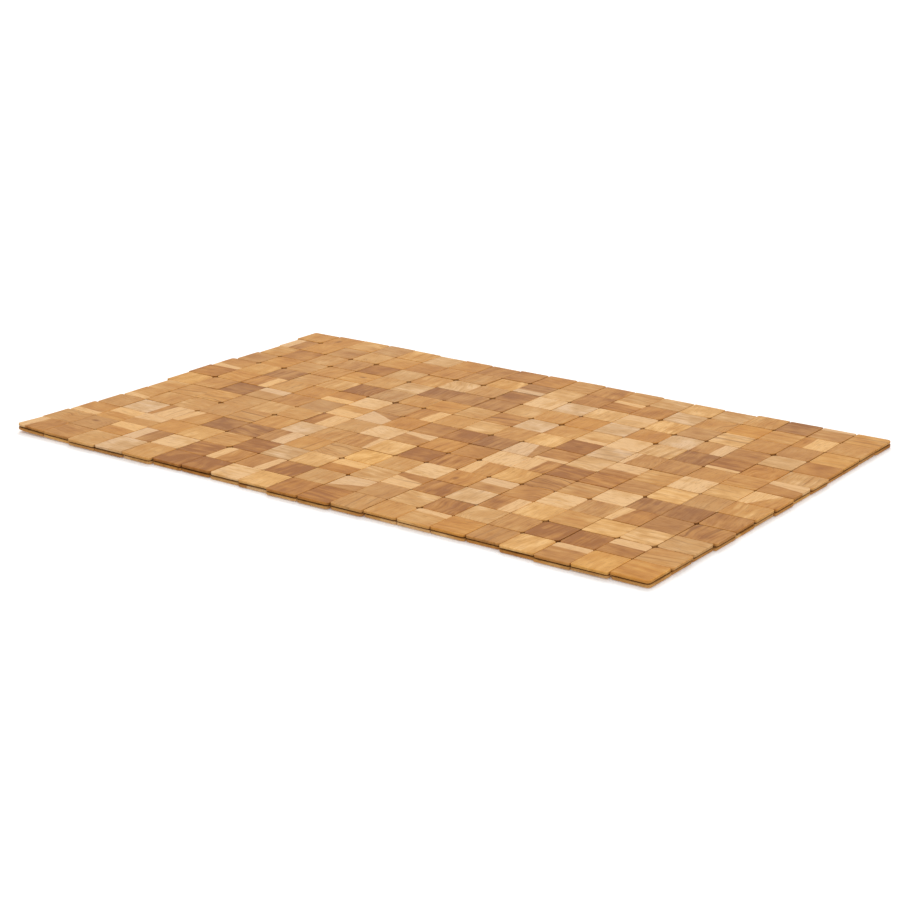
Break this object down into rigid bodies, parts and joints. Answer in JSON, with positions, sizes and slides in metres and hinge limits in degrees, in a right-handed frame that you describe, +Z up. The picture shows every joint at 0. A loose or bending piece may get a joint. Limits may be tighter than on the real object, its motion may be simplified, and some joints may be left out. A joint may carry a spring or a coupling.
{
  "type": "bath mat",
  "caption": "Flexible bath mat of square teak tiles glued to both faces of a cloth core, so that it lies flat on the floor and rolls up at its seams.",
  "frame": {"origin": "centre of the mat's footprint, on the floor", "axes": "+X along the mat's length, +Y across its width, +Z up out of the face that is walked on"},
  "size_m": [0.8073, 0.5275, 0.0076],
  "materials": {
    "teak_top": "sanded and lightly oiled teak tiles, mixed heartwood and sapwood",
    "teak_bottom": "sanded teak tiles, mixed heartwood and sapwood",
    "core_cloth": "brown woven cloth stiffened with glue"
  },
  "bodies": {
    "leaf_01": {"top_tiles_01": "teak_top", "bottom_tiles_01": "teak_bottom", "core_strip_01": "core_cloth"},
    "leaf_02": {"top_tiles_02": "teak_top", "bottom_tiles_02": "teak_bottom", "core_strip_02": "core_cloth"},
    "leaf_03": {"top_tiles_03": "teak_top", "bottom_tiles_03": "teak_bottom", "core_strip_03": "core_cloth"},
    "leaf_04": {"top_tiles_04": "teak_top", "bottom_tiles_04": "teak_bottom", "core_strip_04": "core_cloth"},
    "leaf_05": {"top_tiles_05": "teak_top", "bottom_tiles_05": "teak_bottom", "core_strip_05": "core_cloth"},
    "leaf_06": {"top_tiles_06": "teak_top", "bottom_tiles_06": "teak_bottom", "core_strip_06": "core_cloth"},
    "leaf_07": {"top_tiles_07": "teak_top", "bottom_tiles_07": "teak_bottom", "core_strip_07": "core_cloth"},
    "leaf_08": {"top_tiles_08": "teak_top", "bottom_tiles_08": "teak_bottom", "core_strip_08": "core_cloth"},
    "leaf_09": {"top_tiles_09": "teak_top", "bottom_tiles_09": "teak_bottom", "core_strip_09": "core_cloth"},
    "leaf_10": {"top_tiles_10": "teak_top", "bottom_tiles_10": "teak_bottom", "core_strip_10": "core_cloth"},
    "leaf_11": {"top_tiles_11": "teak_top", "bottom_tiles_11": "teak_bottom", "core_strip_11": "core_cloth"},
    "leaf_12": {"top_tiles_12": "teak_top", "bottom_tiles_12": "teak_bottom", "core_strip_12": "core_cloth"},
    "leaf_13": {"top_tiles_13": "teak_top", "bottom_tiles_13": "teak_bottom", "core_strip_13": "core_cloth"},
    "leaf_14": {"top_tiles_14": "teak_top", "bottom_tiles_14": "teak_bottom", "core_strip_14": "core_cloth"},
    "leaf_15": {"top_tiles_15": "teak_top", "bottom_tiles_15": "teak_bottom", "core_strip_15": "core_cloth"},
    "leaf_16": {"top_tiles_16": "teak_top", "bottom_tiles_16": "teak_bottom", "core_strip_16": "core_cloth"},
    "leaf_17": {"top_tiles_17": "teak_top", "bottom_tiles_17": "teak_bottom", "core_strip_17": "core_cloth"},
    "leaf_18": {"top_tiles_18": "teak_top", "bottom_tiles_18": "teak_bottom", "core_strip_18": "core_cloth"},
    "leaf_19": {"top_tiles_19": "teak_top", "bottom_tiles_19": "teak_bottom", "core_strip_19": "core_cloth"},
    "leaf_20": {"top_tiles_20": "teak_top", "bottom_tiles_20": "teak_bottom", "core_strip_20": "core_cloth"}
  },
  "joints": [
    {"name": "seam_01", "type": "hinge", "parent": "leaf_02", "child": "leaf_01", "pos_m": [-0.36, 0, 0.0038], "axis": [0, 1, 0], "range_deg": [-8, 8]},
    {"name": "seam_02", "type": "hinge", "parent": "leaf_03", "child": "leaf_02", "pos_m": [-0.32, 0, 0.0038], "axis": [0, 1, 0], "range_deg": [-8, 8]},
    {"name": "seam_03", "type": "hinge", "parent": "leaf_04", "child": "leaf_03", "pos_m": [-0.28, 0, 0.0038], "axis": [0, 1, 0], "range_deg": [-8, 8]},
    {"name": "seam_04", "type": "hinge", "parent": "leaf_05", "child": "leaf_04", "pos_m": [-0.24, 0, 0.0038], "axis": [0, 1, 0], "range_deg": [-8, 8]},
    {"name": "seam_05", "type": "hinge", "parent": "leaf_06", "child": "leaf_05", "pos_m": [-0.2, 0, 0.0038], "axis": [0, 1, 0], "range_deg": [-8, 8]},
    {"name": "seam_06", "type": "hinge", "parent": "leaf_07", "child": "leaf_06", "pos_m": [-0.16, 0, 0.0038], "axis": [0, 1, 0], "range_deg": [-8, 8]},
    {"name": "seam_07", "type": "hinge", "parent": "leaf_08", "child": "leaf_07", "pos_m": [-0.12, 0, 0.0038], "axis": [0, 1, 0], "range_deg": [-8, 8]},
    {"name": "seam_08", "type": "hinge", "parent": "leaf_09", "child": "leaf_08", "pos_m": [-0.08, 0, 0.0038], "axis": [0, 1, 0], "range_deg": [-8, 8]},
    {"name": "seam_09", "type": "hinge", "parent": "leaf_10", "child": "leaf_09", "pos_m": [-0.04, 0, 0.0038], "axis": [0, 1, 0], "range_deg": [-8, 8]},
    {"name": "seam_10", "type": "hinge", "parent": "leaf_10", "child": "leaf_11", "pos_m": [0, 0, 0.0038], "axis": [0, -1, 0], "range_deg": [-8, 8]},
    {"name": "seam_11", "type": "hinge", "parent": "leaf_11", "child": "leaf_12", "pos_m": [0.04, 0, 0.0038], "axis": [0, -1, 0], "range_deg": [-8, 8]},
    {"name": "seam_12", "type": "hinge", "parent": "leaf_12", "child": "leaf_13", "pos_m": [0.08, 0, 0.0038], "axis": [0, -1, 0], "range_deg": [-8, 8]},
    {"name": "seam_13", "type": "hinge", "parent": "leaf_13", "child": "leaf_14", "pos_m": [0.12, 0, 0.0038], "axis": [0, -1, 0], "range_deg": [-8, 8]},
    {"name": "seam_14", "type": "hinge", "parent": "leaf_14", "child": "leaf_15", "pos_m": [0.16, 0, 0.0038], "axis": [0, -1, 0], "range_deg": [-8, 8]},
    {"name": "seam_15", "type": "hinge", "parent": "leaf_15", "child": "leaf_16", "pos_m": [0.2, 0, 0.0038], "axis": [0, -1, 0], "range_deg": [-8, 8]},
    {"name": "seam_16", "type": "hinge", "parent": "leaf_16", "child": "leaf_17", "pos_m": [0.24, 0, 0.0038], "axis": [0, -1, 0], "range_deg": [-8, 8]},
    {"name": "seam_17", "type": "hinge", "parent": "leaf_17", "child": "leaf_18", "pos_m": [0.28, 0, 0.0038], "axis": [0, -1, 0], "range_deg": [-8, 8]},
    {"name": "seam_18", "type": "hinge", "parent": "leaf_18", "child": "leaf_19", "pos_m": [0.32, 0, 0.0038], "axis": [0, -1, 0], "range_deg": [-8, 8]},
    {"name": "seam_19", "type": "hinge", "parent": "leaf_19", "child": "leaf_20", "pos_m": [0.36, 0, 0.0038], "axis": [0, -1, 0], "range_deg": [-8, 8]}
  ]
}
